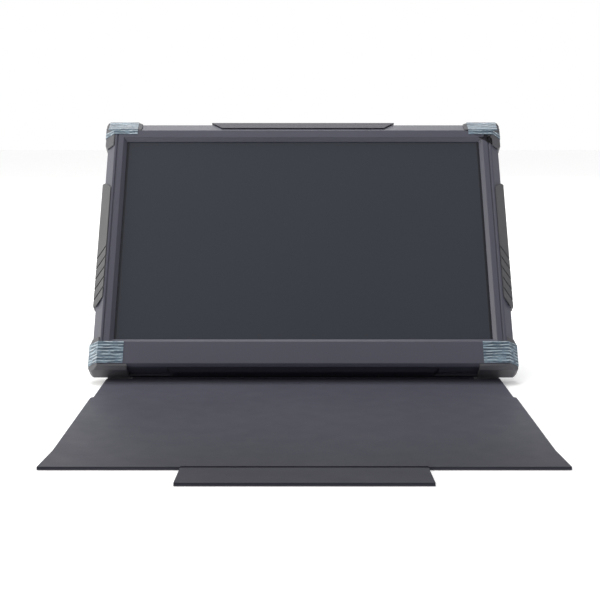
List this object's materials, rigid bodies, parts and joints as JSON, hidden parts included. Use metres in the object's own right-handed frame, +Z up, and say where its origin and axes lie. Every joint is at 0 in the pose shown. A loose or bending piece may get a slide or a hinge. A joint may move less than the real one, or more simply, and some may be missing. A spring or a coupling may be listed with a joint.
{
  "type": "pen display with folding cover",
  "caption": "Rugged-framed pen display leaning back on a rear leg, with corner guards and a folding leather-look cover laid out flat in front.",
  "frame": {"origin": "on the desk, in the middle of the ground the open part covers", "axes": "+X to the user's right, +Y away from the user, +Z up; the screen faces -Y and up, and the cover lies out towards -Y"},
  "size_m": [0.3962, 0.4818, 0.2351],
  "materials": {
    "frame_plastic": "fine moulded grain",
    "glass": "smooth, dark when off",
    "lcd": "plain",
    "board": "lacquered",
    "shield": "plain sheet",
    "screw_steel": "turned",
    "insert_brass": "turned",
    "key_plastic": "smooth",
    "socket_steel": "pressed",
    "socket_plastic": "moulded",
    "guard_rubber": "satin",
    "film": "wrinkled, half clear",
    "grip_rubber": "ribbed",
    "rail_plastic": "satin",
    "magnet": "plated",
    "stand_aluminium": "dark anodised",
    "cover_leather": "fine grain",
    "cover_lining": "soft, fine grain",
    "cover_board": "plain sheet"
  },
  "bodies": {
    "tablet": {"front_frame": "frame_plastic", "rear_cover": "frame_plastic", "cover_glass": "glass", "lcd_panel": "lcd", "backlight_unit": "lcd", "pen_sensor_board": "board", "main_board": "board", "key_board": "board", "shield_plate": "shield", "frame_screws": "screw_steel", "clamp_screws": "screw_steel", "stand_pin": "screw_steel", "mount_inserts": "insert_brass", "key_switches": "key_plastic", "video_socket": "socket_steel", "usb_socket_upper": "socket_steel", "usb_socket_lower": "socket_steel", "audio_socket": "socket_plastic", "corner_guard_top_right": "guard_rubber", "corner_guard_top_left": "guard_rubber", "corner_guard_bottom_right": "guard_rubber", "corner_guard_bottom_left": "guard_rubber", "corner_foot_right": "guard_rubber", "corner_foot_left": "guard_rubber", "corner_film_bottom_right": "film", "corner_film_bottom_left": "film", "corner_film_top_right": "film", "corner_film_top_left": "film", "side_grip_right": "grip_rubber", "side_grip_left": "grip_rubber", "top_rail": "rail_plastic", "bottom_rail": "rail_plastic", "cover_clamp_bar": "rail_plastic", "stand_bracket_right": "rail_plastic", "stand_bracket_left": "rail_plastic", "rail_magnets": "magnet"},
    "cover_spine": {"cover_spine_skin": "cover_leather", "cover_spine_lining": "cover_lining", "cover_spine_board": "cover_board"},
    "cover_panel": {"cover_panel_skin": "cover_leather", "cover_panel_lining": "cover_lining", "cover_panel_board": "cover_board", "tab_root_strip": "cover_leather"},
    "cover_tab": {"cover_tab_skin": "cover_leather", "cover_tab_lining": "cover_lining", "cover_tab_board": "cover_board", "tab_magnets": "magnet"},
    "stand_leg": {"stand_leg": "stand_aluminium", "stand_feet": "guard_rubber"},
    "power_key": {"power_key": "key_plastic"},
    "brightness_up_key": {"brightness_up_key": "key_plastic"},
    "brightness_down_key": {"brightness_down_key": "key_plastic"}
  },
  "joints": [
    {"name": "cover_fold", "type": "hinge", "parent": "tablet", "child": "cover_spine", "pos_m": [0, 0.07847, 0.0024], "axis": [-1, 0, 0], "range_deg": [0, 34.2]},
    {"name": "panel_fold", "type": "hinge", "parent": "cover_spine", "child": "cover_panel", "pos_m": [0, 0.05527, 0.0024], "axis": [-1, 0, 0], "range_deg": [0, 90]},
    {"name": "tab_fold", "type": "hinge", "parent": "cover_panel", "child": "cover_tab", "pos_m": [0, -0.20493, 0.0024], "axis": [-1, 0, 0], "range_deg": [0, 38]},
    {"name": "leg_fold", "type": "hinge", "parent": "tablet", "child": "stand_leg", "pos_m": [0, 0.17593, 0.13012], "axis": [-1, 0, 0], "range_deg": [0, 60.2]},
    {"name": "power_key_press", "type": "slide", "parent": "tablet", "child": "power_key", "axis": [0, -0.8271, 0.5621], "range_m": [0, 0.0008], "stiffness_N_per_m": 800, "springref_m": -0.0003},
    {"name": "brightness_up_key_press", "type": "slide", "parent": "tablet", "child": "brightness_up_key", "axis": [0, -0.8271, 0.5621], "range_m": [0, 0.0008], "stiffness_N_per_m": 800, "springref_m": -0.0003},
    {"name": "brightness_down_key_press", "type": "slide", "parent": "tablet", "child": "brightness_down_key", "axis": [0, -0.8271, 0.5621], "range_m": [0, 0.0008], "stiffness_N_per_m": 800, "springref_m": -0.0003}
  ]
}
